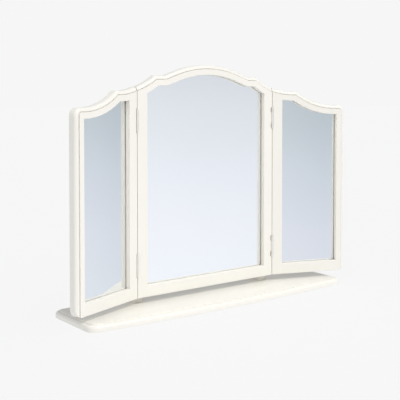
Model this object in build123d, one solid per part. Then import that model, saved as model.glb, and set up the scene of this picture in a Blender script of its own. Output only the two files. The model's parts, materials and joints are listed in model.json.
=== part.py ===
from build123d import *
import math
import os

os.makedirs("parts", exist_ok=True)

# Three-panel dressing table mirror. Millimetres, +Z up, front towards -Y.
# Origin: bottom centre of the whole object, on the surface it stands on.

# ---------------------------------------------------------------- dimensions
FACE_Y = 5.5            # front face of the centre panel
T = 20.0                # thickness of every frame
LIP = 10.0              # front lip: depth of the reveal in front of the glass
GLASS_T = 4.0
BACK_T = 3.0
PAD_T = 1.0             # felt pads
BASE_T = 15.0
GAP = 15.0              # clear gap between base board and panels
Z_BASE = PAD_T          # underside of the base board
Z_TOP = PAD_T + BASE_T  # top of the base board
Z0 = Z_TOP + GAP        # bottom edge of all three panels

# top outline, given at the quirk line (z above the panels' bottom edge)
M = 9.0                 # width of the edge moulding outside the quirk line
QUIRK = 1.8             # step down at the quirk line
GROOVE_W, GROOVE_D = 1.3, 1.7   # the quirk itself, sunk into the ledge beside the step
OVOLO_R = 7.0           # radius of the ovolo, leaves a 2 mm ledge beside the quirk
Z_CREST = 501.3
R_ARCH = 267.0
ALPHA = math.radians(19.3)
Z_FLAT_C = 475.75       # short flat on the centre panel
R_COVE = 25.0
R_SCOOP = 185.0
Z_FLAT_M = 441.65       # flat shoulder on the wings, beside the hinge scoop
Z_FLAT_O = 407.6        # outer flat of the wings
AXIS_X = 196.3          # hinge axes
X_SCOOP2 = 250.9        # lowest point of the inner scoop, wings unfolded
S_SCOOP1 = 169.1        # lowest point of the outer scoop, from the hinge axis
R_CORNER = 7.0          # wing's top outer corner at the quirk line

HALF_GAP = 0.5          # half of the gap between the stiles at a hinge line
CW = AXIS_X - HALF_GAP  # half width of the centre panel
WING_END = 195.7        # wing's outer edge, from the hinge axis
S_QUIRK = WING_END - M

# openings, measured from the quirk line
OFF_OPEN = -13.2
OFF_REBATE = -5.2
OFF_GLASS = -6.0
C_OPEN, C_REBATE, C_GLASS = 170.0, 178.0, 177.2      # half widths, centre
WI_OPEN, WI_REBATE, WI_GLASS = 26.5, 18.5, 19.3      # wing, hinge side
WO_OPEN, WO_REBATE, WO_GLASS = 173.5, 181.5, 180.7   # wing, outer side
ZB_OPEN, ZB_REBATE, ZB_GLASS = 25.7, 17.7, 18.5

# base board
BASE_HALF_L = 359.5
BASE_REAR = 89.5
BASE_FRONT_MID = -89.5
BASE_FRONT_END = -73.5
BASE_R = 22.0
BASE_INSET = 8.5
BASE_STEP = 2.0
BASE_OVOLO = 6.5

# hinges
HINGE_H = 50.0
HINGE_Z = (71.5, 386.5)  # centres, above the panels' bottom edge
KN_R = 2.7
AXIS_OFF = 1.0           # axis in front of the panels' faces
PIN_R = 1.25
LEAF_T = 1.2
LEAF_W = 16.0            # leaf's reach behind the face
BARREL = 49.4            # the knuckles run the full height of the leaves
KN_END = 11.4            # height of the moving leaf's two end knuckles
NOTCH_W, NOTCH_D = 4.8, 5.0     # notches in the right centre stile beside the end knuckles
REST_DEG = 20.0          # wings stand folded forward by this much

# posts behind the centre stiles
POST_X0, POST_X1 = 172.0, 194.0
POST_TOP = 235.0

ARRIS = 0.7             # eased edges of the base board
ARRIS_F = 0.5           # eased front edges of the frames


# ---------------------------------------------------------------- top outline
def arch_points(o):
    """Key points of the centre panel's right half at offset o from the quirk line."""
    cz = Z_CREST - R_ARCH
    sa, ca = math.sin(ALPHA), math.cos(ALPHA)
    g = (R_ARCH * sa, cz + R_ARCH * ca)
    cove_z = Z_FLAT_C + R_COVE
    lam = (g[1] - (cove_z - R_COVE * ca)) / sa
    cove_x = g[0] + lam * ca + R_COVE * sa
    r1, r2, r3 = R_ARCH + o, R_COVE - o, R_SCOOP - o
    p_crest = (0.0, cz + r1)
    p_mid = (r1 * math.sin(ALPHA / 2), cz + r1 * math.cos(ALPHA / 2))
    p1 = (r1 * sa, cz + r1 * ca)
    p2 = (cove_x - r2 * sa, cove_z - r2 * ca)
    p2m = (cove_x - r2 * math.sin(ALPHA / 2), cove_z - r2 * math.cos(ALPHA / 2))
    p3 = (cove_x, cove_z - r2)
    zf = Z_FLAT_C + o
    sz = Z_FLAT_M + R_SCOOP
    kx = X_SCOOP2 - math.sqrt(r3 * r3 - (sz - zf) ** 2)
    return p_crest, p_mid, p1, p2, p2m, p3, (kx, zf), (X_SCOOP2, sz, r3)


def on_scoop(c, x):
    return c[1] - math.sqrt(c[2] ** 2 - (x - c[0]) ** 2)


def arc3(a, b, c):
    return ThreePointArc(a, b, c)


def centre_face(o, half_w, z_bottom):
    """Closed outline of the centre panel at offset o, sides at +-half_w."""
    p0, pm, p1, p2, p2m, p3, k, sc = arch_points(o)
    e = (half_w, on_scoop(sc, half_w))
    xm = (k[0] + e[0]) / 2
    m = (xm, on_scoop(sc, xm))
    b = (half_w, z_bottom)

    def neg(p):
        return (-p[0], p[1])

    edges = [
        arc3(neg(p1), p0, p1),
        Line(p1, p2),
        arc3(p2, p2m, p3),
        Line(p3, k),
        arc3(k, m, e),
        Line(e, b),
        Line(b, neg(b)),
        Line(neg(b), neg(e)),
        arc3(neg(e), neg(m), neg(k)),
        Line(neg(k), neg(p3)),
        arc3(neg(p3), neg(p2m), neg(p2)),
        Line(neg(p2), neg(p1)),
    ]
    return make_face(edges)


def wing_face(o, s_in, s_out, z_bottom, corner):
    """Closed outline of a wing lying flat, s measured from the hinge axis."""
    c2 = (X_SCOOP2 - AXIS_X, Z_FLAT_M + R_SCOOP, R_SCOOP - o)
    c1 = (S_SCOOP1, Z_FLAT_O + R_SCOOP, R_SCOOP - o)
    zf = Z_FLAT_M + o
    zo = Z_FLAT_O + o
    a = (s_in, on_scoop(c2, s_in))
    am = ((s_in + c2[0]) / 2, on_scoop(c2, (s_in + c2[0]) / 2))
    b = (c2[0], zf)
    k = (c1[0] - math.sqrt(c1[2] ** 2 - (c1[1] - zf) ** 2), zf)
    km = ((k[0] + c1[0]) / 2, on_scoop(c1, (k[0] + c1[0]) / 2))
    d = (c1[0], zo)
    edges = [arc3(a, am, b), Line(b, k), arc3(k, km, d)]
    if corner:
        r = R_CORNER + o
        cx, cz = S_QUIRK - R_CORNER, Z_FLAT_O - R_CORNER
        e = (cx, cz + r)
        em = (cx + r * math.sqrt(0.5), cz + r * math.sqrt(0.5))
        f = (cx + r, cz)
        edges += [Line(d, e), arc3(e, em, f)]
        last = f
    else:
        e = (s_out, zo)
        edges += [Line(d, e)]
        last = e
    g = (s_out, z_bottom)
    h = (s_in, z_bottom)
    edges += [Line(last, g), Line(g, h), Line(h, a)]
    return make_face(edges)


def stand_up(face, y0, y1):
    """Extrude an (x, z) outline from y0 to y1, y measured back from the front face."""
    solid = extrude(face, y1 - y0)                    # along +Z of the sketch
    solid = solid.rotate(Axis.X, 90)                  # now along -Y
    return Pos(0, y1, 0) * solid


def frame_solid(outer, inner_front, groove, opening, rebate, skip):
    """A whole frame: back layer with the ovolo, front layer up to the quirk line."""
    back = stand_up(outer, QUIRK, T)
    front_edges = [
        e
        for e in back.edges()
        if abs(e.center().Y - QUIRK) < 1e-6
        and abs(e.bounding_box().max.Y - e.bounding_box().min.Y) < 1e-6
        and not skip(e)
    ]
    back = fillet(front_edges, OVOLO_R)
    front = stand_up(inner_front, 0, QUIRK + 1.0)
    solid = back + front - stand_up(groove, QUIRK - 0.5, QUIRK + GROOVE_D)
    solid = solid - stand_up(opening, -1, T + 1)
    solid = solid - stand_up(rebate, LIP, T + 1)
    return solid


def soften(solid, opening, outer):
    """Eased front edges: chamfered round the opening, rounded down the plain sides."""
    solid = chamfer([e for e in solid.edges() if opening(e)], ARRIS_F)
    return fillet([e for e in solid.edges() if outer(e)], ARRIS_F)


# ---------------------------------------------------------------- fasteners
def csk_screw(r, head_r, length, grow=0.0, recess=True):
    """Countersunk screw pointing down -Z with its head's flat top at z = 0."""
    h = head_r - r
    rr, hr = r + grow, head_r + grow
    tip = 1.6 * r
    pts = [
        (0, 0),
        (hr, 0),
        (hr, -0.25),
        (rr, -0.25 - h),
        (rr, -(length - tip)),
        (0.25 * r, -length - grow),
        (0, -length - grow),
    ]
    prof = make_face([Line(pts[i], pts[(i + 1) % len(pts)]) for i in range(len(pts))])
    body = revolve(Plane.XZ * prof, Axis.Z, 360)
    if recess:
        a, b, d = 1.15 * head_r, 0.32 * r + 0.25, 0.62 * h + 0.2
        cross = Box(a, b, 2 * d) + Box(b, a, 2 * d)
        body = body - cross
    return body


def cyl_between(x, y, z, axis, r, length):
    c = Cylinder(r, length)
    if axis == "x":
        c = c.rotate(Axis.Y, 90)
    elif axis == "y":
        c = c.rotate(Axis.X, 90)
    return Pos(x, y, z) * c


# ---------------------------------------------------------------- centre frame
# built with its front face at y = 0 and its bottom edge at z = 0, then placed
def centre_skip(e):
    b = e.bounding_box()
    c = e.center()
    vertical_side = abs(abs(c.X) - CW) < 1e-6
    bottom = abs(b.max.Z) < 1e-6
    return vertical_side or bottom


centre = frame_solid(
    centre_face(M, CW, 0.0),
    centre_face(0.0, CW, 0.0),
    centre_face(GROOVE_W, CW + 1.0, -1.0) - centre_face(0.0, CW + 2.0, -2.0),
    centre_face(OFF_OPEN, C_OPEN, ZB_OPEN),
    centre_face(OFF_REBATE, C_REBATE, ZB_REBATE),
    centre_skip,
)


def opening_edges(x0, x1):
    """Front edges of the opening."""

    def pick(e):
        b = e.bounding_box()
        return (
            max(abs(b.max.Y), abs(b.min.Y)) < 1e-6
            and x0 - 0.01 <= b.min.X
            and b.max.X <= x1 + 0.01
            and b.min.Z >= ZB_OPEN - 0.01
            and not is_quirk_edge(e)
        )

    return pick


def outer_edges(side_x):
    """Front edges down the plain sides and along the bottom."""

    def pick(e):
        b = e.bounding_box()
        return max(abs(b.max.Y), abs(b.min.Y)) < 1e-6 and (
            abs(b.max.Z) < 1e-6
            or any(max(abs(b.min.X - x), abs(b.max.X - x)) < 1e-6 for x in side_x)
        )

    return pick


def is_quirk_edge(e):
    """True for an edge of the front layer's top outline (offset 0)."""
    p = e.center()
    x = abs(p.X)
    return quirk_z(x, FRAME_KIND[0]) - p.Z < 8.0


def quirk_z(x, kind):
    if kind == "centre":
        p0, pm, p1, p2, p2m, p3, k, sc = arch_points(0.0)
        if x <= p1[0]:
            return Z_CREST - R_ARCH + math.sqrt(R_ARCH**2 - x * x)
        if x <= p3[0]:
            return p1[1] + (p3[1] - p1[1]) * (x - p1[0]) / (p3[0] - p1[0])
        if x <= k[0]:
            return Z_FLAT_C
        return on_scoop(sc, x)
    c2 = (X_SCOOP2 - AXIS_X, Z_FLAT_M + R_SCOOP, R_SCOOP)
    c1 = (S_SCOOP1, Z_FLAT_O + R_SCOOP, R_SCOOP)
    kx = c1[0] - math.sqrt(c1[2] ** 2 - (c1[1] - Z_FLAT_M) ** 2)
    if x <= c2[0]:
        return on_scoop(c2, x)
    if x <= kx:
        return Z_FLAT_M
    if x <= c1[0]:
        return on_scoop(c1, x)
    return Z_FLAT_O


FRAME_KIND = ["centre"]
centre = soften(centre, opening_edges(-C_OPEN, C_OPEN), outer_edges((-CW, CW)))


def hinge_mortise(side_x, inward, z):
    """Pocket for a leaf in a stile's edge: side_x is the edge, inward its direction."""
    x = side_x + inward * LEAF_T / 2
    return Pos(x, LEAF_W / 2 - 1.0, z) * Box(LEAF_T, LEAF_W + 2.0, HINGE_H + 0.1)


def stepped_mortise(side_x, inward, z):
    """The same pocket cut to the fixed leaf's T shape, full height only behind NOTCH_D."""
    x = side_x + inward * LEAF_T / 2
    y_back = NOTCH_D + 0.1
    rear = Pos(x, (y_back + LEAF_W) / 2, z) * Box(LEAF_T, LEAF_W - y_back, HINGE_H + 0.1)
    front_h = BARREL - 2 * KN_END - 0.2
    front = Pos(x, LEAF_W / 2 - 1.0, z) * Box(LEAF_T, LEAF_W + 2.0, front_h)
    return rear + front


def leaf_screw(z, side_x, inward, y, grow=0.0):
    """Leaf screw driven inward along X from the stile's edge."""
    s = csk_screw(1.4, 2.7, 12.0, grow, recess=(grow == 0.0))
    s = s.rotate(Axis.Y, 90 if inward < 0 else -90)
    return Pos(side_x, y, z) * s


def barrel_pocket(side_x, z, r, height):
    """Round pocket about a hinge axis that stands HALF_GAP beyond the stile's edge."""
    axis_x = side_x + (HALF_GAP if side_x > 0 else -HALF_GAP)
    return Pos(axis_x, -AXIS_OFF, z) * Cylinder(r, height)


LEAF_SCREW_Y = 9.0
LEAF_SCREW_DZ = (-16.0, 16.0)
CLEAR = 0.03

# everything cut out of the centre frame's pieces once the frame is split
centre_cuts = []
for zc in HINGE_Z:
    for sgn in (-1, 1):
        mortise = hinge_mortise if sgn > 0 else stepped_mortise
        centre_cuts.append(mortise(sgn * CW, -sgn, zc))
        centre_cuts.append(barrel_pocket(sgn * CW, zc, KN_R + 0.25, BARREL + 2.4))
        # the right stile is relieved beside the end knuckles
        for up in (-1, 1) if sgn > 0 else ():
            z_in, z_out = BARREL / 2 - KN_END + 0.1, HINGE_H / 2 + 0.05
            centre_cuts.append(
                Pos(
                    sgn * (CW - NOTCH_W / 2 + 0.5),
                    NOTCH_D / 2 - 1.0,
                    zc + up * (z_in + z_out) / 2,
                )
                * Box(NOTCH_W + 1.0, NOTCH_D + 2.0, z_out - z_in)
            )
        for dz in LEAF_SCREW_DZ:
            centre_cuts.append(leaf_screw(zc + dz, sgn * CW, -sgn, LEAF_SCREW_Y, CLEAR))

# corner dowels: (x at the joint, y, z), half in each piece
DOWEL_R, DOWEL_L = 3.0, 23.0
C_DOWELS = [(C_OPEN, 10.0, 5.2), (C_OPEN, 10.0, 12.6), (C_OPEN, 6.6, 457.5)]
W_DOWELS_IN = [(WI_OPEN, 10.0, 5.2), (WI_OPEN, 10.0, 12.6), (WI_OPEN, 13.0, 445.0)]
W_DOWELS_OUT = [(WO_OPEN, 10.0, 5.2), (WO_OPEN, 10.0, 12.6), (WO_OPEN, 13.0, 407.2)]


def dowel(x, y, z, grow=0.0):
    slim = z == 457.5          # thinner, shorter dowels under the centre's scoops
    r, length = (2.5, 20.0) if slim else (DOWEL_R, DOWEL_L)
    return cyl_between(x, y, z, "x", r + grow, length + (1.0 if grow else 0.0))


for x, y, z in C_DOWELS:
    for sgn in (-1, 1):
        centre_cuts.append(dowel(sgn * x, y, z, CLEAR))

# screws from the posts into the centre stiles, and up from the base into the posts
POST_SCREW_Z = (135.0, 205.0)
POST_SCREW_X = 185.0
POST_UP_Y = T + 16.0     # rear face of the post's upper part
POST_SCREW = (1.75, 3.6, 30.0)


def post_screw(sgn, z, grow=0.0):
    s = csk_screw(*POST_SCREW, grow, recess=(grow == 0.0))
    s = s.rotate(Axis.X, -90)            # head's top faces +Y, the point goes to -Y
    return Pos(sgn * POST_SCREW_X, POST_UP_Y, z) * s


for sgn in (-1, 1):
    for z in POST_SCREW_Z:
        centre_cuts.append(post_screw(sgn, z, CLEAR))

# clips that hold the backing boards: (position along the rail or stile)
CLIP_W, CLIP_T = 12.0, 0.8
CLIP_SCREW = (1.3, 2.5, 10.0)


def clip(edge_x=None, edge_z=None, at=0.0, out=1):
    """Offset clip over a rebate's edge. out is the direction from board to frame."""
    y_frame, y_board = T, LIP + GLASS_T + BACK_T
    pts = [
        (13.0, y_frame),
        (13.0, y_frame + CLIP_T),
        (-CLIP_T, y_frame + CLIP_T),
        (-CLIP_T, y_board + CLIP_T),
        (-9.0, y_board + CLIP_T),
        (-9.0, y_board),
        (0.0, y_board),
        (0.0, y_frame),
    ]
    face = make_face([Line(pts[i], pts[(i + 1) % len(pts)]) for i in range(len(pts))])
    body = extrude(face, CLIP_W / 2, both=True)       # along z, profile in x and y
    body = body - Pos(7.5, y_frame + CLIP_T, 0) * csk_screw(
        *CLIP_SCREW, CLEAR, recess=False
    ).rotate(Axis.X, -90)
    screw = Pos(7.5, y_frame + CLIP_T, 0) * csk_screw(*CLIP_SCREW).rotate(Axis.X, -90)
    hole = Pos(7.5, y_frame + CLIP_T, 0) * csk_screw(
        *CLIP_SCREW, CLEAR, recess=False
    ).rotate(Axis.X, -90)
    if edge_x is not None:
        if out > 0:
            place = Pos(edge_x, 0, at)
        else:
            place = Pos(edge_x, 0, at) * Rot(0, 180, 0)
    else:
        place = Pos(at, 0, edge_z) * Rot(0, 90 if out < 0 else -90, 0)
    return place * body, place * screw, place * hole


centre_clip_spots = [
    dict(edge_x=C_REBATE, at=285.0, out=1),
    dict(edge_x=C_REBATE, at=395.0, out=1),
    dict(edge_x=-C_REBATE, at=285.0, out=-1),
    dict(edge_x=-C_REBATE, at=395.0, out=-1),
    dict(edge_z=ZB_REBATE, at=-95.0, out=-1),
    dict(edge_z=ZB_REBATE, at=95.0, out=-1),
    dict(edge_z=Z_CREST + OFF_REBATE - 0.2, at=0.0, out=1),
]
centre_clips, centre_clip_screws = [], []
for spot in centre_clip_spots:
    b, s, h = clip(**spot)
    centre_clips.append(b)
    centre_clip_screws.append(s)
    centre_cuts.append(h)

# ---------------------------------------------------------------- split the frame
BIG = 1200.0


def touches(a, b):
    a, b = a.bounding_box(), b.bounding_box()
    return all(
        getattr(a.min, k) < getattr(b.max, k) + 0.01
        and getattr(b.min, k) < getattr(a.max, k) + 0.01
        for k in "XYZ"
    )


def piece(solid, x0, x1, z0, z1, cuts):
    box = Pos((x0 + x1) / 2, T / 2, (z0 + z1) / 2) * Box(x1 - x0, 3 * T, z1 - z0)
    out = solid & box
    for c in cuts:
        if touches(out, c):
            out = out - c
    return out


centre_parts = {
    "centre_left_stile": piece(centre, -BIG, -C_OPEN, -50, 700, centre_cuts),
    "centre_right_stile": piece(centre, C_OPEN, BIG, -50, 700, centre_cuts),
    "centre_bottom_rail": piece(centre, -C_OPEN, C_OPEN, -50, 200, centre_cuts),
    "centre_top_rail": piece(centre, -C_OPEN, C_OPEN, 200, 700, centre_cuts),
}

centre_glass = stand_up(centre_face(OFF_GLASS, C_GLASS, ZB_GLASS), LIP, LIP + GLASS_T)
centre_back = stand_up(
    centre_face(OFF_GLASS, C_GLASS, ZB_GLASS), LIP + GLASS_T, LIP + GLASS_T + BACK_T
)

# ---------------------------------------------------------------- right wing, flat
# s along +X from the hinge axis, front face at y = 0


def wing_skip(e):
    b = e.bounding_box()
    inner = abs(b.min.X - HALF_GAP) < 1e-6 and abs(b.max.X - HALF_GAP) < 1e-6
    bottom = abs(b.max.Z) < 1e-6
    return inner or bottom


wing = frame_solid(
    wing_face(M, HALF_GAP, WING_END, 0.0, True),
    wing_face(0.0, HALF_GAP, S_QUIRK, 0.0, True),
    wing_face(GROOVE_W, HALF_GAP - 1.0, S_QUIRK + GROOVE_W, -1.0, True)
    - wing_face(0.0, HALF_GAP - 2.0, S_QUIRK, -2.0, True),
    wing_face(OFF_OPEN, WI_OPEN, WO_OPEN, ZB_OPEN, False),
    wing_face(OFF_REBATE, WI_REBATE, WO_REBATE, ZB_REBATE, False),
    wing_skip,
)
FRAME_KIND[0] = "wing"
wing = soften(wing, opening_edges(WI_OPEN, WO_OPEN), outer_edges((HALF_GAP,)))

wing_cuts = []
for zc in HINGE_Z:
    wing_cuts.append(hinge_mortise(HALF_GAP, 1, zc))
    wing_cuts.append(Pos(0, -AXIS_OFF, zc) * Cylinder(KN_R + 1.2, BARREL + 2.6))
    for dz in LEAF_SCREW_DZ:
        wing_cuts.append(leaf_screw(zc + dz, HALF_GAP, 1, LEAF_SCREW_Y, CLEAR))
for x, y, z in W_DOWELS_IN + W_DOWELS_OUT:
    wing_cuts.append(dowel(x, y, z, CLEAR))

wing_clip_spots = [
    dict(edge_x=WI_REBATE, at=130.0, out=-1),
    dict(edge_x=WI_REBATE, at=330.0, out=-1),
    dict(edge_x=WO_REBATE, at=130.0, out=1),
    dict(edge_x=WO_REBATE, at=330.0, out=1),
    dict(edge_z=ZB_REBATE, at=100.0, out=-1),
]
wing_clips, wing_clip_screws = [], []
for spot in wing_clip_spots:
    b, s, h = clip(**spot)
    wing_clips.append(b)
    wing_clip_screws.append(s)
    wing_cuts.append(h)

# the outer bottom corner is rounded over through the full thickness
CORNER_R = 16.0
corner_block = Pos(WING_END - CORNER_R / 2 + 5, T / 2, CORNER_R / 2 - 5) * Box(
    CORNER_R + 10, 3 * T, CORNER_R + 10
)
corner_block = corner_block - Pos(WING_END - CORNER_R, T / 2, CORNER_R) * Cylinder(
    CORNER_R, 4 * T
).rotate(Axis.X, 90)
corner_block = corner_block & (
    Pos(WING_END - CORNER_R / 2 + 5, T / 2, CORNER_R / 2 - 5)
    * Box(CORNER_R + 10, 3 * T, CORNER_R + 10)
)
wing_cuts.append(corner_block)

wing_parts = {
    "hinge_stile": piece(wing, -50, WI_OPEN, -50, 700, wing_cuts),
    "outer_stile": piece(wing, WO_OPEN, BIG, -50, 700, wing_cuts),
    "bottom_rail": piece(wing, WI_OPEN, WO_OPEN, -50, 200, wing_cuts),
    "top_rail": piece(wing, WI_OPEN, WO_OPEN, 200, 700, wing_cuts),
    "mirror": stand_up(
        wing_face(OFF_GLASS, WI_GLASS, WO_GLASS, ZB_GLASS, False), LIP, LIP + GLASS_T
    ),
    "backing_board": stand_up(
        wing_face(OFF_GLASS, WI_GLASS, WO_GLASS, ZB_GLASS, False),
        LIP + GLASS_T,
        LIP + GLASS_T + BACK_T,
    ),
}
wing_groups = {
    "frame_dowels": [dowel(x, y, z) for x, y, z in W_DOWELS_IN + W_DOWELS_OUT],
    "backing_clips": wing_clips,
    "clip_screws": wing_clip_screws,
    "hinge_screws": [
        leaf_screw(zc + dz, HALF_GAP, 1, LEAF_SCREW_Y)
        for zc in HINGE_Z
        for dz in LEAF_SCREW_DZ
    ],
}

# ---------------------------------------------------------------- hinges (right side)
# hinge frame: axis through x = 0, y = -AXIS_OFF, fixed leaf on the -x side


def leaf(side, z_spans, bore, other_spans, cut_back):
    """side -1 fixed, +1 moving. Knuckles fill z_spans about the hinge's centre."""
    x = side * (HALF_GAP + LEAF_T / 2)
    y0, y1 = 0.15, LEAF_W
    body = Pos(x, (y0 + y1) / 2, 0) * Box(LEAF_T, y1 - y0, HINGE_H)
    # rounded rear corners
    rear = [
        e
        for e in body.edges()
        if abs(e.center().Y - y1) < 1e-6 and abs(abs(e.center().Z) - HINGE_H / 2) < 1e-6
    ]
    body = fillet(rear, 2.0)
    for a, b in z_spans:
        body = body + Pos(0, -AXIS_OFF, (a + b) / 2) * Cylinder(KN_R, b - a)
    for a, b in other_spans:
        body = body - Pos(0, -AXIS_OFF, (a + b) / 2) * Cylinder(KN_R + 0.2, b - a + 0.4)
    # the plate's ends stand back on either side of the barrel
    if cut_back:
        z_in = BARREL / 2 - KN_END - 0.2
        z_mid, height = (z_in + HINGE_H) / 2, HINGE_H - z_in
        for up in (-1, 1):
            body = body - Pos(x, cut_back / 2 - 1.0, up * z_mid) * Box(
                LEAF_T + 1.0, cut_back + 2.0, height
            )
    body = body - Pos(0, -AXIS_OFF, 0) * Cylinder(bore, HINGE_H + 2)
    for up in (-1, 1):      # room for the pin's domed ends
        body = body - Pos(0, -AXIS_OFF, up * (BARREL / 2 + 0.7)) * Cylinder(2.4, 1.4)
    for dz in LEAF_SCREW_DZ:
        s = csk_screw(1.4, 2.7, 12.0, CLEAR, recess=False)
        s = s.rotate(Axis.Y, 90 if side < 0 else -90)
        body = body - Pos(side * HALF_GAP, LEAF_SCREW_Y, dz) * s
    return body


KN_MID = BARREL / 2 - KN_END
FIXED_SPANS = [(-KN_MID + 0.1, KN_MID - 0.1)]
MOVING_SPANS = [(-BARREL / 2, -KN_MID - 0.1), (KN_MID + 0.1, BARREL / 2)]
fixed_leaf = leaf(-1, FIXED_SPANS, PIN_R + 0.02, MOVING_SPANS, NOTCH_D + 0.2)
moving_leaf = leaf(1, MOVING_SPANS, PIN_R + 0.05, FIXED_SPANS, 0.0)
tip = [
    (0, 0),
    (2.1, 0),
    (2.1, 0.3),
    (1.8, 0.65),
    (1.0, 0.9),
    (0, 0.95),
]
tip_face = make_face([Line(tip[i], tip[(i + 1) % len(tip)]) for i in range(len(tip))])
tip_top = Pos(0, 0, BARREL / 2) * revolve(Plane.XZ * tip_face, Axis.Z, 360)
hinge_pin = Pos(0, -AXIS_OFF, 0) * (
    Cylinder(PIN_R, BARREL) + tip_top + tip_top.mirror(Plane.XY)
)

# ---------------------------------------------------------------- base and posts
front_arc = ThreePointArc(
    (-BASE_HALF_L, BASE_FRONT_END), (0, BASE_FRONT_MID), (BASE_HALF_L, BASE_FRONT_END)
)
base_2d = make_face(
    [
        front_arc,
        Line((BASE_HALF_L, BASE_FRONT_END), (BASE_HALF_L, BASE_REAR)),
        Line((BASE_HALF_L, BASE_REAR), (-BASE_HALF_L, BASE_REAR)),
        Line((-BASE_HALF_L, BASE_REAR), (-BASE_HALF_L, BASE_FRONT_END)),
    ]
)
base_2d = fillet(base_2d.vertices(), BASE_R)
base_low = Pos(0, 0, Z_BASE) * extrude(base_2d, BASE_T - BASE_STEP)
z_ledge = Z_BASE + BASE_T - BASE_STEP
top_edges = [
    e for e in base_low.edges() if abs(e.center().Z - z_ledge) < 1e-6
    and abs(e.bounding_box().max.Z - e.bounding_box().min.Z) < 1e-6
]
base_low = fillet(top_edges, BASE_OVOLO)
bottom_edges = [
    e for e in base_low.edges() if abs(e.center().Z - Z_BASE) < 1e-6
    and abs(e.bounding_box().max.Z - e.bounding_box().min.Z) < 1e-6
]
base_low = fillet(bottom_edges, ARRIS)
base_up = Pos(0, 0, z_ledge - 1.0) * extrude(offset(base_2d, -BASE_INSET), BASE_STEP + 1.0)
up_edges = [
    e for e in base_up.edges() if abs(e.center().Z - Z_TOP) < 1e-6
    and abs(e.bounding_box().max.Z - e.bounding_box().min.Z) < 1e-6
]
base_up = fillet(up_edges, ARRIS)
base_board = base_low + base_up

PY = FACE_Y                       # panels' local y = 0 in the object's frame
POST_PTS = [
    (T, -GAP),
    (T + 34.0, -GAP),
    (T + 34.0, 22.0),
    (POST_UP_Y, 92.0),
    (POST_UP_Y, POST_TOP - 6.0),
    (POST_UP_Y - 6.0, POST_TOP),
    (T, POST_TOP),
]
post_face = make_face(
    [Line(POST_PTS[i], POST_PTS[(i + 1) % len(POST_PTS)]) for i in range(len(POST_PTS))]
)


def post(sgn):
    p = Plane.YZ * post_face                        # sketch x -> Y, sketch y -> Z
    body = extrude(p, POST_X1 - POST_X0)            # along +X
    body = Pos(POST_X0 if sgn > 0 else -POST_X1, 0, 0) * body
    for z in POST_SCREW_Z:
        body = body - post_screw(sgn, z, CLEAR)
    for y in BASE_SCREW_Y:
        body = body - base_screw(sgn, y, CLEAR)
    return body


BASE_SCREW_Y = (T + 9.0, T + 25.0)
BASE_SCREW = (2.0, 4.1, 48.0)


def base_screw(sgn, y, grow=0.0):
    s = csk_screw(*BASE_SCREW, grow, recess=(grow == 0.0))
    s = s.rotate(Axis.X, 180)                       # head down, point up
    return Pos(sgn * (POST_X0 + POST_X1) / 2, y, -GAP - BASE_T + 0.5) * s


for sgn in (-1, 1):
    for y in BASE_SCREW_Y:
        base_board = base_board - Pos(0, PY, Z0) * base_screw(sgn, y, CLEAR)
        # the countersink runs out through the underside
        base_board = base_board - Pos(
            sgn * (POST_X0 + POST_X1) / 2, PY + y, Z_BASE + 0.25
        ) * Cylinder(BASE_SCREW[1] + CLEAR, 0.6)

PAD_R = 12.0
PADS = [(-318.0, -50.0), (318.0, -50.0), (-318.0, 64.0), (318.0, 64.0)]

# ---------------------------------------------------------------- placing
centre_at = Pos(0, PY, Z0)
axis_y = PY - AXIS_OFF


def wing_at(sgn):
    """Right wing's local frame (axis at x = 0, y = -AXIS_OFF) to its rest place."""
    return (
        Pos(AXIS_X, axis_y, Z0)
        * Rot(0, 0, -REST_DEG)
        * Pos(0, AXIS_OFF, 0)
    )


def both(shape):
    """The right-hand shape and its mirror image for the left."""
    return shape, shape.mirror(Plane.YZ)


nodes = {}
nodes["base_board"] = base_board
nodes["base_felt_pads"] = [
    Pos(x, y, PAD_T / 2) * Cylinder(PAD_R, PAD_T) for x, y in PADS
]
nodes["left_rear_post"] = centre_at * post(-1)
nodes["right_rear_post"] = centre_at * post(1)
nodes["base_to_post_screws"] = [
    centre_at * base_screw(sgn, y) for sgn in (-1, 1) for y in BASE_SCREW_Y
]
nodes["post_to_stile_screws"] = [
    centre_at * post_screw(sgn, z) for sgn in (-1, 1) for z in POST_SCREW_Z
]
for name, shape in centre_parts.items():
    nodes[name] = centre_at * shape
nodes["centre_frame_dowels"] = [
    centre_at * dowel(sgn * x, y, z) for x, y, z in C_DOWELS for sgn in (-1, 1)
]
nodes["centre_mirror"] = centre_at * centre_glass
nodes["centre_backing_board"] = centre_at * centre_back
nodes["centre_backing_clips"] = [centre_at * c for c in centre_clips]
nodes["centre_clip_screws"] = [centre_at * c for c in centre_clip_screws]
nodes["centre_hinge_screws"] = [
    centre_at * leaf_screw(zc + dz, sgn * CW, -sgn, LEAF_SCREW_Y)
    for sgn in (-1, 1)
    for zc in HINGE_Z
    for dz in LEAF_SCREW_DZ
]

at_wing = wing_at(1)
for name, shape in wing_parts.items():
    r, l = both(at_wing * shape)
    nodes["right_" + name] = r
    nodes["left_" + name] = l
for name, shapes in wing_groups.items():
    pairs = [both(at_wing * s) for s in shapes]
    nodes["right_" + name] = [p[0] for p in pairs]
    nodes["left_" + name] = [p[1] for p in pairs]

for word, zc in zip(("lower", "upper"), HINGE_Z):
    at_fixed = Pos(AXIS_X, PY, Z0 + zc)
    at_moving = (
        Pos(AXIS_X, axis_y, Z0 + zc) * Rot(0, 0, -REST_DEG) * Pos(0, AXIS_OFF, 0)
    )
    for part_name, shape, place in (
        ("hinge_fixed_leaf", fixed_leaf, at_fixed),
        ("hinge_moving_leaf", moving_leaf, at_moving),
        ("hinge_pin", hinge_pin, at_fixed),
    ):
        r, l = both(place * shape)
        nodes[f"right_{word}_{part_name}"] = r
        nodes[f"left_{word}_{part_name}"] = l


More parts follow.
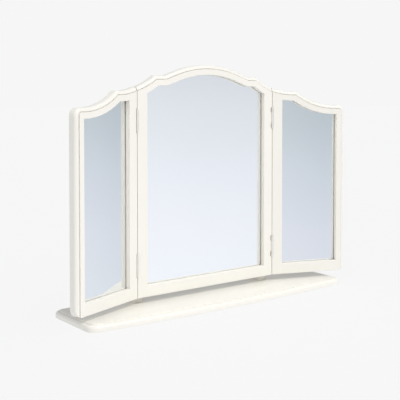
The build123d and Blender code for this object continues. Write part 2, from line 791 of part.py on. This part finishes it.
def solids_of(shape):
    if isinstance(shape, (list, tuple)):
        out = []
        for s in shape:
            out += solids_of(s)
        return out
    return list(shape.solids())


for name, shape in nodes.items():
    ss = solids_of(shape)
    expected = len(shape) if isinstance(shape, list) else 1
    if len(ss) != expected:
        print("WARNING", name, "has", len(ss), "solids, expected", expected)
    export_step(ss[0] if len(ss) == 1 else Compound(children=ss), f"parts/{name}.step")
print(len(nodes), "nodes written")
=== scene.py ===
import json
import math

import bmesh
import bpy
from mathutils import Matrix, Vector

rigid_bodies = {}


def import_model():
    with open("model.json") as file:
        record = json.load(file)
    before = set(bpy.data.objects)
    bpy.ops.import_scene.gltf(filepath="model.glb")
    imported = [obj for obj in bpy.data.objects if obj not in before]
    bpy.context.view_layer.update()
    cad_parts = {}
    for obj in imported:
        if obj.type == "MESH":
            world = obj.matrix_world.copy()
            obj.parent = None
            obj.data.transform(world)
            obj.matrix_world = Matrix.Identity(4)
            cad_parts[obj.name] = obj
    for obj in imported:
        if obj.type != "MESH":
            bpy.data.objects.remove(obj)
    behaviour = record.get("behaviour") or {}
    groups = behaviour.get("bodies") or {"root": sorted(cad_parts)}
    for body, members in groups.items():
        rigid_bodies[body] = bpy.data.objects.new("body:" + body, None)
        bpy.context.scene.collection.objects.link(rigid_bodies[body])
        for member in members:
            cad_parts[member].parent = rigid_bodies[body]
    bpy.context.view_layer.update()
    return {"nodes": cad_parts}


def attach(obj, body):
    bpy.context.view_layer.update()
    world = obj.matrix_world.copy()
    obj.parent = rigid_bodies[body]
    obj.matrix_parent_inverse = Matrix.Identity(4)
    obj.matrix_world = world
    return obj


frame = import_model()
nodes = frame["nodes"]
scene = bpy.context.scene

# ------------------------------------------------------------------ node helpers


def new_material(name):
    m = bpy.data.materials.new(name)
    m.use_nodes = True
    nt = m.node_tree
    nt.nodes.clear()
    out = nt.nodes.new("ShaderNodeOutputMaterial")
    bsdf = nt.nodes.new("ShaderNodeBsdfPrincipled")
    nt.links.new(bsdf.outputs["BSDF"], out.inputs["Surface"])
    return m, nt, bsdf


class Net:
    """Short names for building shader graphs."""

    def __init__(self, nt):
        self.nt = nt
        self.coord = nt.nodes.new("ShaderNodeTexCoord").outputs["Object"]

    def link(self, a, b):
        self.nt.links.new(a, b)

    def mapping(self, scale=(1, 1, 1), rot=(0, 0, 0), loc=(0, 0, 0), src=None):
        n = self.nt.nodes.new("ShaderNodeMapping")
        n.inputs["Scale"].default_value = scale
        n.inputs["Rotation"].default_value = rot
        n.inputs["Location"].default_value = loc
        self.link(src or self.coord, n.inputs["Vector"])
        return n.outputs["Vector"]

    def noise(self, vec, scale, detail=4.0, rough=0.5, dist=0.0):
        n = self.nt.nodes.new("ShaderNodeTexNoise")
        n.inputs["Scale"].default_value = scale
        n.inputs["Detail"].default_value = detail
        n.inputs["Roughness"].default_value = rough
        n.inputs["Distortion"].default_value = dist
        self.link(vec, n.inputs["Vector"])
        return n.outputs["Fac"]

    def ramp(self, fac, stops):
        n = self.nt.nodes.new("ShaderNodeValToRGB")
        e = n.color_ramp.elements
        while len(e) > 1:
            e.remove(e[-1])
        for i, (p, c) in enumerate(stops):
            el = e[0] if i == 0 else e.new(p)
            el.position = p
            el.color = (*c, 1.0) if not isinstance(c, (int, float)) else (c, c, c, 1.0)
        self.link(fac, n.inputs["Fac"])
        return n.outputs["Color"]

    def map(self, v, a, b, c, d):
        n = self.nt.nodes.new("ShaderNodeMapRange")
        n.inputs["From Min"].default_value = a
        n.inputs["From Max"].default_value = b
        n.inputs["To Min"].default_value = c
        n.inputs["To Max"].default_value = d
        self.link(v, n.inputs["Value"])
        return n.outputs["Result"]

    def math(self, op, a, b=None, clamp=False):
        n = self.nt.nodes.new("ShaderNodeMath")
        n.operation = op
        n.use_clamp = clamp
        for i, x in enumerate((a, b)):
            if x is None:
                continue
            if isinstance(x, (int, float)):
                n.inputs[i].default_value = x
            else:
                self.link(x, n.inputs[i])
        return n.outputs[0]

    def mix(self, fac, a, b, mode="MIX"):
        n = self.nt.nodes.new("ShaderNodeMix")
        n.data_type = "RGBA"
        n.blend_type = mode
        for sock, x in ((n.inputs[0], fac), (n.inputs[6], a), (n.inputs[7], b)):
            if isinstance(x, (int, float)):
                sock.default_value = x
            elif isinstance(x, tuple):
                sock.default_value = (*x, 1.0)
            else:
                self.link(x, sock)
        return n.outputs[2]

    def bump(self, height, strength, distance, normal=None):
        n = self.nt.nodes.new("ShaderNodeBump")
        n.inputs["Strength"].default_value = strength
        n.inputs["Distance"].default_value = distance
        self.link(height, n.inputs["Height"])
        if normal is not None:
            self.link(normal, n.inputs["Normal"])
        return n.outputs["Normal"]


# ------------------------------------------------------------------ materials


def cream_paint(name, grain_rot, seed):
    """Satin cream paint over fine-grained wood; grain_rot turns the grain."""
    m, nt, b = new_material(name)
    n = Net(nt)
    grain = n.mapping(scale=(1.0, 1.0, 0.035), rot=grain_rot, loc=(seed, seed * 0.7, 0))
    pores = n.noise(grain, 900.0, 5.0, 0.65)
    waves = n.noise(n.mapping(loc=(0, seed, seed)), 16.0, 2.0, 0.5)
    orange = n.noise(n.coord, 520.0, 2.0, 0.5)
    tone = n.noise(n.mapping(loc=(seed * 2, 0, seed)), 7.0, 3.0, 0.55)
    base = n.ramp(tone, [(0.3, (0.838, 0.820, 0.766)), (0.7, (0.858, 0.840, 0.788))])
    b.inputs["Base Color"].default_value = (0.872, 0.848, 0.780, 1)
    n.link(base, b.inputs["Base Color"])
    b.inputs["Specular IOR Level"].default_value = 0.45
    b.inputs["Coat Weight"].default_value = 0.12
    b.inputs["Coat Roughness"].default_value = 0.3
    n.link(n.map(waves, 0.3, 0.7, 0.36, 0.46), b.inputs["Roughness"])
    nrm = n.bump(pores, 0.10, 0.00012)
    nrm = n.bump(orange, 0.06, 0.0001, nrm)
    nrm = n.bump(waves, 0.08, 0.0006, nrm)
    n.link(nrm, b.inputs["Normal"])
    return m


def for_bounced_light(nt, bsdf, other, rays):
    """Let other stand in for bsdf on the named rays, which carry light between surfaces."""
    path = nt.nodes.new("ShaderNodeLightPath")
    mix = nt.nodes.new("ShaderNodeMixShader")
    fac = path.outputs[rays[0]]
    for name in rays[1:]:
        m = nt.nodes.new("ShaderNodeMath")
        m.operation = "MAXIMUM"
        nt.links.new(fac, m.inputs[0])
        nt.links.new(path.outputs[name], m.inputs[1])
        fac = m.outputs[0]
    nt.links.new(fac, mix.inputs[0])
    nt.links.new(bsdf.outputs["BSDF"], mix.inputs[1])
    nt.links.new(other.outputs["BSDF"], mix.inputs[2])
    out = next(n for n in nt.nodes if n.type == "OUTPUT_MATERIAL")
    nt.links.new(mix.outputs[0], out.inputs["Surface"])


def clear_glass():
    """The pane itself: clear, faintly green float glass over the silvering."""
    m, nt, b = new_material("clear_glass")
    n = Net(nt)
    b.inputs["Transmission Weight"].default_value = 1.0
    b.inputs["IOR"].default_value = 1.5
    b.inputs["Roughness"].default_value = 0.0
    ripple = n.noise(n.coord, 4.0, 1.0, 0.5)
    n.link(
        n.ramp(ripple, [(0.3, (0.965, 0.985, 0.975)), (0.7, (0.975, 0.99, 0.985))]),
        b.inputs["Base Color"],
    )
    clear = nt.nodes.new("ShaderNodeBsdfTransparent")
    for_bounced_light(nt, b, clear, ("Is Shadow Ray", "Is Diffuse Ray"))
    return m


def silvering():
    m, nt, b = new_material("silvering")
    n = Net(nt)
    drift = n.noise(n.coord, 3.0, 2.0, 0.5)
    n.link(
        n.ramp(drift, [(0.3, (0.955, 0.962, 0.968)), (0.7, (0.965, 0.970, 0.975))]),
        b.inputs["Base Color"],
    )
    b.inputs["Metallic"].default_value = 1.0
    n.link(n.map(drift, 0.3, 0.7, 0.002, 0.006), b.inputs["Roughness"])
    white = nt.nodes.new("ShaderNodeBsdfDiffuse")
    white.inputs["Color"].default_value = (0.93, 0.93, 0.92, 1)
    for_bounced_light(nt, b, white, ("Is Diffuse Ray",))
    return m


def metal(name, base, dark, rough, rot=(0, 0, 0)):
    m, nt, b = new_material(name)
    n = Net(nt)
    lines = n.noise(n.mapping(scale=(1, 1, 0.04), rot=rot), 1600.0, 3.0, 0.6)
    cloud = n.noise(n.coord, 90.0, 3.0, 0.6)
    n.link(n.ramp(cloud, [(0.3, dark), (0.7, base)]), b.inputs["Base Color"])
    b.inputs["Metallic"].default_value = 1.0
    n.link(n.map(lines, 0.25, 0.75, rough - 0.06, rough + 0.1), b.inputs["Roughness"])
    n.link(n.bump(lines, 0.12, 0.00005), b.inputs["Normal"])
    return m


def hardboard():
    m, nt, b = new_material("hardboard")
    n = Net(nt)
    fleck = n.noise(n.coord, 420.0, 6.0, 0.7)
    fibre = n.noise(n.mapping(scale=(1, 1, 0.25)), 160.0, 5.0, 0.65, 0.6)
    cloud = n.noise(n.coord, 9.0, 3.0, 0.5)
    col = n.ramp(fleck, [(0.3, (0.15, 0.088, 0.048)), (0.7, (0.245, 0.155, 0.09))])
    col = n.mix(n.map(fibre, 0.35, 0.7, 0.0, 0.45), col, (0.32, 0.215, 0.13))
    col = n.mix(n.map(cloud, 0.3, 0.7, 0.0, 0.25), col, (0.19, 0.115, 0.066))
    n.link(col, b.inputs["Base Color"])
    b.inputs["Roughness"].default_value = 0.62
    nrm = n.bump(fleck, 0.25, 0.0002)
    n.link(n.bump(fibre, 0.2, 0.0002, nrm), b.inputs["Normal"])
    return m


def beech():
    m, nt, b = new_material("beech")
    n = Net(nt)
    grain = n.noise(n.mapping(scale=(0.06, 1, 1)), 700.0, 5.0, 0.6)
    n.link(
        n.ramp(grain, [(0.3, (0.44, 0.27, 0.14)), (0.7, (0.60, 0.41, 0.24))]),
        b.inputs["Base Color"],
    )
    b.inputs["Roughness"].default_value = 0.6
    n.link(n.bump(grain, 0.3, 0.0002), b.inputs["Normal"])
    return m


def felt():
    m, nt, b = new_material("felt")
    n = Net(nt)
    fibre = n.noise(n.coord, 1500.0, 6.0, 0.75, 1.2)
    n.link(
        n.ramp(fibre, [(0.3, (0.19, 0.16, 0.12)), (0.7, (0.32, 0.28, 0.21))]),
        b.inputs["Base Color"],
    )
    b.inputs["Roughness"].default_value = 0.95
    b.inputs["Sheen Weight"].default_value = 0.3
    n.link(n.bump(fibre, 0.5, 0.0003), b.inputs["Normal"])
    return m


QUARTER = math.radians(90)
paint_upright = cream_paint("cream_paint_upright", (0, 0, 0), 0.0)
paint_level = cream_paint("cream_paint_level", (0, QUARTER, 0), 3.1)
paint_board = cream_paint("cream_paint_board", (0, QUARTER, 0), 6.7)
glass = clear_glass()
silver = silvering()
nickel = metal("satin_nickel", (0.97, 0.94, 0.885), (0.92, 0.89, 0.835), 0.52)
zinc = metal("zinc_plate", (0.66, 0.67, 0.68), (0.52, 0.53, 0.55), 0.36)
board_back = hardboard()
wood_raw = beech()
pad_felt = felt()


def pick(name):
    if name.endswith("_mirror"):
        return glass
    if "backing_board" in name:
        return board_back
    if "clip" in name or name in ("base_to_post_screws", "post_to_stile_screws"):
        return zinc
    if "hinge_screws" in name or "hinge_pin" in name or "_leaf" in name:
        return nickel
    if "dowels" in name:
        return wood_raw
    if "felt" in name:
        return pad_felt
    if "_rail" in name:
        return paint_level
    if name == "base_board":
        return paint_board
    return paint_upright


for name, obj in nodes.items():
    mat = pick(name)
    if not obj.material_slots:
        obj.data.materials.append(mat)
    for s in obj.material_slots:
        s.material = mat

# ------------------------------------------------------------------ silvering
# A thin silvered sheet lies just inside the back of each pane, so that the reflection
# stands behind the glass. It takes the pane's own outline, 0.6 mm in from its edge.


def back_outline(obj):
    """Direction of the pane's back face, taken from its largest flat face turned to face back,
    and how far back that face lies.
    """
    me = obj.data
    polys = sorted(me.polygons, key=lambda p: -p.area)
    facing = polys[0].normal.copy()
    if facing.y < 0:
        facing = -facing
    far = max(v.co.dot(facing) for v in me.vertices)
    return facing, far


def silver_sheet(node, body):
    pane = nodes[node]
    facing, far = back_outline(pane)
    bm = bmesh.new()
    bm.from_mesh(pane.data)
    drop = [
        f
        for f in bm.faces
        if f.normal.dot(facing) < 0.999 or abs(f.calc_center_median().dot(facing) - far) > 1e-5
    ]
    bmesh.ops.delete(bm, geom=drop, context="FACES")
    bmesh.ops.remove_doubles(bm, verts=bm.verts, dist=1e-6)
    bmesh.ops.dissolve_limit(bm, angle_limit=0.001, verts=bm.verts, edges=bm.edges)
    lo = Vector((min(v.co.x for v in bm.verts), 0, min(v.co.z for v in bm.verts)))
    hi = Vector((max(v.co.x for v in bm.verts), 0, max(v.co.z for v in bm.verts)))
    mid = (lo + hi) / 2
    for v in bm.verts:                      # in from the edge, and off the back face
        v.co.x += (mid.x - v.co.x) * (0.0006 / max((hi.x - lo.x) / 2, 1e-6))
        v.co.z += (mid.z - v.co.z) * (0.0006 / max((hi.z - lo.z) / 2, 1e-6))
    shift = far - 0.00012
    for v in bm.verts:
        v.co += facing * (shift - v.co.dot(facing))
    bmesh.ops.solidify(bm, geom=bm.faces[:], thickness=-0.00006)
    bmesh.ops.recalc_face_normals(bm, faces=bm.faces[:])
    me = bpy.data.meshes.new(node.replace("_mirror", "_silvering"))
    bm.to_mesh(me)
    bm.free()
    ob = bpy.data.objects.new(me.name, me)
    scene.collection.objects.link(ob)
    me.materials.append(silver)
    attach(ob, body)
    return ob


for node, body in (
    ("centre_mirror", "stand"),
    ("left_mirror", "left_wing"),
    ("right_mirror", "right_wing"),
):
    silver_sheet(node, body)

# ------------------------------------------------------------------ floor
bpy.ops.mesh.primitive_plane_add(size=60.0, location=(0, 0, -0.0002))
floor = bpy.context.object
floor.name = "studio_floor"
fm = bpy.data.materials.new("studio_floor")
fm.use_nodes = True
nt = fm.node_tree
nt.nodes.clear()
out = nt.nodes.new("ShaderNodeOutputMaterial")
diff = nt.nodes.new("ShaderNodeBsdfDiffuse")
emit = nt.nodes.new("ShaderNodeEmission")
add = nt.nodes.new("ShaderNodeAddShader")
diff.inputs["Color"].default_value = (0.13, 0.13, 0.13, 1)
emit.inputs["Color"].default_value = (1, 1, 1, 1)
emit.inputs["Strength"].default_value = 0.843
nt.links.new(diff.outputs[0], add.inputs[0])
nt.links.new(emit.outputs[0], add.inputs[1])
nt.links.new(add.outputs[0], out.inputs["Surface"])
floor.data.materials.append(fm)
floor.visible_glossy = False
floor.visible_transmission = False

# ------------------------------------------------------------------ world
world = bpy.data.worlds.new("studio")
scene.world = world
world.use_nodes = True
wt = world.node_tree
wt.nodes.clear()


def wnode(kind, **ins):
    n = wt.nodes.new(kind)
    for k, v in ins.items():
        n.inputs[k].default_value = v
    return n


w_out = wnode("ShaderNodeOutputWorld")
path = wnode("ShaderNodeLightPath")
tc = wnode("ShaderNodeTexCoord")
sep = wnode("ShaderNodeSeparateXYZ")
wt.links.new(tc.outputs["Generated"], sep.inputs[0])


def wmath(op, a, b=None, c=None, clamp=False):
    n = wt.nodes.new("ShaderNodeMath")
    n.operation = op
    n.use_clamp = clamp
    for i, x in enumerate((a, b, c)):
        if x is None:
            continue
        if isinstance(x, (int, float)):
            n.inputs[i].default_value = x
        else:
            wt.links.new(x, n.inputs[i])
    return n.outputs[0]


# what the mirrors see: light low down, fading to blue-grey just above the horizon,
# brightest towards one broad soft screen at the front right
wx, wy, wz = sep.outputs[0], sep.outputs[1], sep.outputs[2]
angle = wmath("ARCTAN2", wy, wx)
turn = wt.nodes.new("ShaderNodeMapRange")
turn.inputs["From Min"].default_value = math.radians(-110.0)
turn.inputs["From Max"].default_value = math.radians(-10.0)
wt.links.new(angle, turn.inputs["Value"])
low = wt.nodes.new("ShaderNodeMapRange")
low.inputs["From Min"].default_value = -0.25
low.inputs["From Max"].default_value = 0.05
wt.links.new(wz, low.inputs["Value"])


def wramp(fac, stops):
    n = wt.nodes.new("ShaderNodeValToRGB")
    e = n.color_ramp.elements
    while len(e) > 1:
        e.remove(e[-1])
    for i, (p, c) in enumerate(stops):
        el = e[0] if i == 0 else e.new(p)
        el.position = p
        el.color = (*c, 1.0)
    wt.links.new(fac, n.inputs["Fac"])
    return n.outputs["Color"]


dim = wramp(
    low.outputs[0],
    [
        (0.0, (0.76, 0.79, 0.85)),
        (0.29, (0.72, 0.745, 0.83)),
        (0.53, (0.63, 0.675, 0.745)),
        (0.72, (0.545, 0.595, 0.65)),
        (1.0, (0.47, 0.51, 0.55)),
    ],
)
bright = wramp(
    low.outputs[0],
    [
        (0.0, (0.965, 0.975, 1.05)),
        (0.29, (0.94, 0.95, 1.005)),
        (0.53, (0.88, 0.89, 0.96)),
        (0.78, (0.805, 0.83, 0.875)),
        (1.0, (0.71, 0.735, 0.79)),
    ],
)
lobe = wramp(
    turn.outputs[0],
    [
        (0.0, (0.45, 0.45, 0.45)),
        (0.235, (0.20, 0.20, 0.20)),
        (0.262, (0.02, 0.02, 0.02)),
        (0.40, (0.55, 0.55, 0.55)),
        (0.54, (1.0, 1.0, 1.0)),
        (0.61, (0.88, 0.88, 0.88)),
        (0.76, (0.52, 0.52, 0.52)),
        (0.897, (0.17, 0.17, 0.17)),
        (0.916, (0.0, 0.0, 0.0)),
        (1.0, (0.0, 0.0, 0.0)),
    ],
)
mixer = wt.nodes.new("ShaderNodeMix")
mixer.data_type = "RGBA"
wt.links.new(lobe, mixer.inputs[0])
wt.links.new(dim, mixer.inputs[6])
wt.links.new(bright, mixer.inputs[7])
bg_gloss = wnode("ShaderNodeBackground", Strength=1.0)
wt.links.new(mixer.outputs[2], bg_gloss.inputs["Color"])
bg_fill = wnode("ShaderNodeBackground", Strength=0.655)
bg_fill.inputs["Color"].default_value = (0.985, 0.99, 1.0, 1)
bg_cam = wnode("ShaderNodeBackground", Strength=1.0)
bg_cam.inputs["Color"].default_value = (0.922, 0.922, 0.922, 1)
mix1 = wnode("ShaderNodeMixShader")
mirrored = wmath("MAXIMUM", path.outputs["Is Glossy Ray"], path.outputs["Is Transmission Ray"])
wt.links.new(mirrored, mix1.inputs[0])
wt.links.new(bg_fill.outputs[0], mix1.inputs[1])
wt.links.new(bg_gloss.outputs[0], mix1.inputs[2])
mix2 = wnode("ShaderNodeMixShader")
wt.links.new(path.outputs["Is Camera Ray"], mix2.inputs[0])
wt.links.new(mix1.outputs[0], mix2.inputs[1])
wt.links.new(bg_cam.outputs[0], mix2.inputs[2])
wt.links.new(mix2.outputs[0], w_out.inputs["Surface"])

# ------------------------------------------------------------------ key light
key = bpy.data.lights.new("key", "SUN")
key.energy = 1.58
key.angle = math.radians(9.0)
key.color = (1.0, 0.985, 0.955)
key_obj = bpy.data.objects.new("key", key)
scene.collection.objects.link(key_obj)
to_light = Vector((4.5, -14.5, 18.0))
key_obj.rotation_euler = to_light.to_track_quat("Z", "Y").to_euler()

# a broad weak light from the left lifts the sides that face away from the key
side = bpy.data.lights.new("side_fill", "SUN")
side.energy = 0.15
side.angle = math.radians(50.0)
side_obj = bpy.data.objects.new("side_fill", side)
scene.collection.objects.link(side_obj)
side_obj.rotation_euler = Vector((-9.0, -5.0, 5.0)).to_track_quat("Z", "Y").to_euler()

# the lamps light the object only, so the floor keeps the even tone of the backdrop
lit = bpy.data.collections.new("lit_by_key")
for ob in scene.objects:
    if ob.type == "MESH" and ob is not floor:
        lit.objects.link(ob)
for lamp in (key_obj, side_obj):
    lamp.light_linking.receiver_collection = lit

# ------------------------------------------------------------------ camera
cam = bpy.data.cameras.new("camera")
cam.sensor_width = 36.0
cam.lens = 812.4 / 400.0 * 36.0
cam.shift_y = -0.1882
cam.clip_start = 0.05
cam.clip_end = 200.0
cam_obj = bpy.data.objects.new("camera", cam)
scene.collection.objects.link(cam_obj)
cam_obj.location = (-1.1520, -1.4657, 0.4698)
yaw, pitch = 0.6531, math.radians(2.0)
forward = Vector(
    (math.sin(yaw) * math.cos(pitch), math.cos(yaw) * math.cos(pitch), -math.sin(pitch))
)
cam_obj.rotation_euler = (-forward).to_track_quat("Z", "Y").to_euler()
scene.camera = cam_obj

scene.view_settings.view_transform = "Standard"
scene.view_settings.look = "None"
